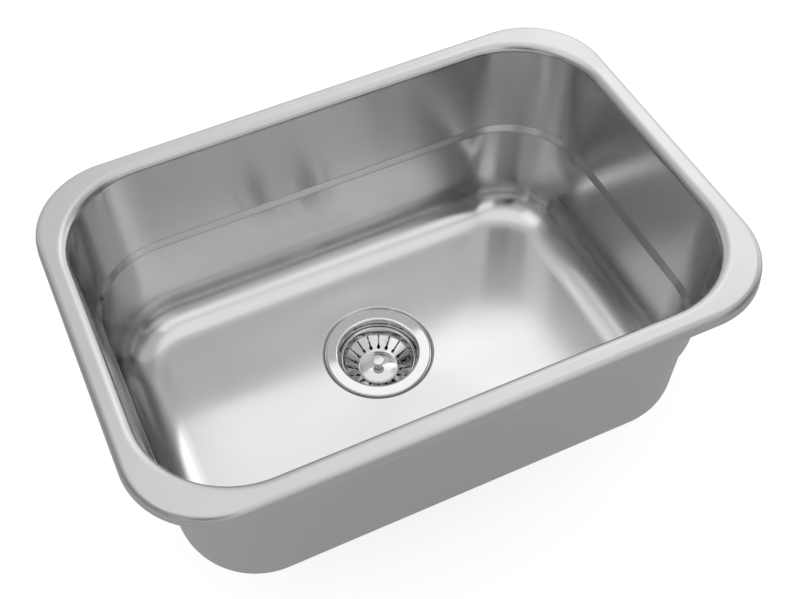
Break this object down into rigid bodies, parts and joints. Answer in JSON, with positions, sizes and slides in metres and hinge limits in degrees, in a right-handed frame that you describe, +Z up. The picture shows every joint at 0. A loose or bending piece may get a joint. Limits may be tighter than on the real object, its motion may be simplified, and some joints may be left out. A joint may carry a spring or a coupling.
{
  "type": "kitchen sink",
  "caption": "Rectangular single-bowl pressed steel kitchen sink with a turned-down rim, a ledge round its walls and a lift-out basket strainer above a straight outlet tube.",
  "frame": {"origin": "middle of the rim, on its top face", "axes": "+X along the sink's long side, +Y towards the wall behind the sink, +Z up out of the bowl"},
  "size_m": [0.6, 0.417, 0.3974],
  "materials": {
    "satin_stainless": "satin brushed",
    "polished_stainless": "mirror polished",
    "chromed_brass": "chrome plated",
    "turned_brass": "turned",
    "spring_steel": "bright",
    "cast_zinc": "as cast zinc alloy",
    "black_rubber": "matte",
    "white_gasket": "matte",
    "fibre": "matte",
    "polyethylene": "moulded",
    "damping_pad": "matte"
  },
  "bodies": {
    "sink": {"sink_bowl": "satin_stainless", "sound_pads": "damping_pad", "flange_gasket": "white_gasket", "strainer_body": "polished_stainless", "sink_washer": "black_rubber", "friction_ring": "fibre", "locknut": "cast_zinc", "post_socket": "polished_stainless", "tailpiece_washer": "polyethylene", "tailpiece": "chromed_brass", "coupling_nut": "chromed_brass"},
    "strainer_basket": {"basket": "polished_stainless", "knob_base": "polished_stainless", "basket_knob": "polished_stainless", "basket_post": "turned_brass", "seal_plate": "polished_stainless", "stopper_seal": "black_rubber", "seal_retainer": "polished_stainless", "post_clip": "spring_steel"}
  },
  "joints": [
    {"name": "basket_lift", "type": "slide", "parent": "sink", "child": "strainer_basket", "axis": [0, 0, 1], "range_m": [0, 0.3]}
  ]
}
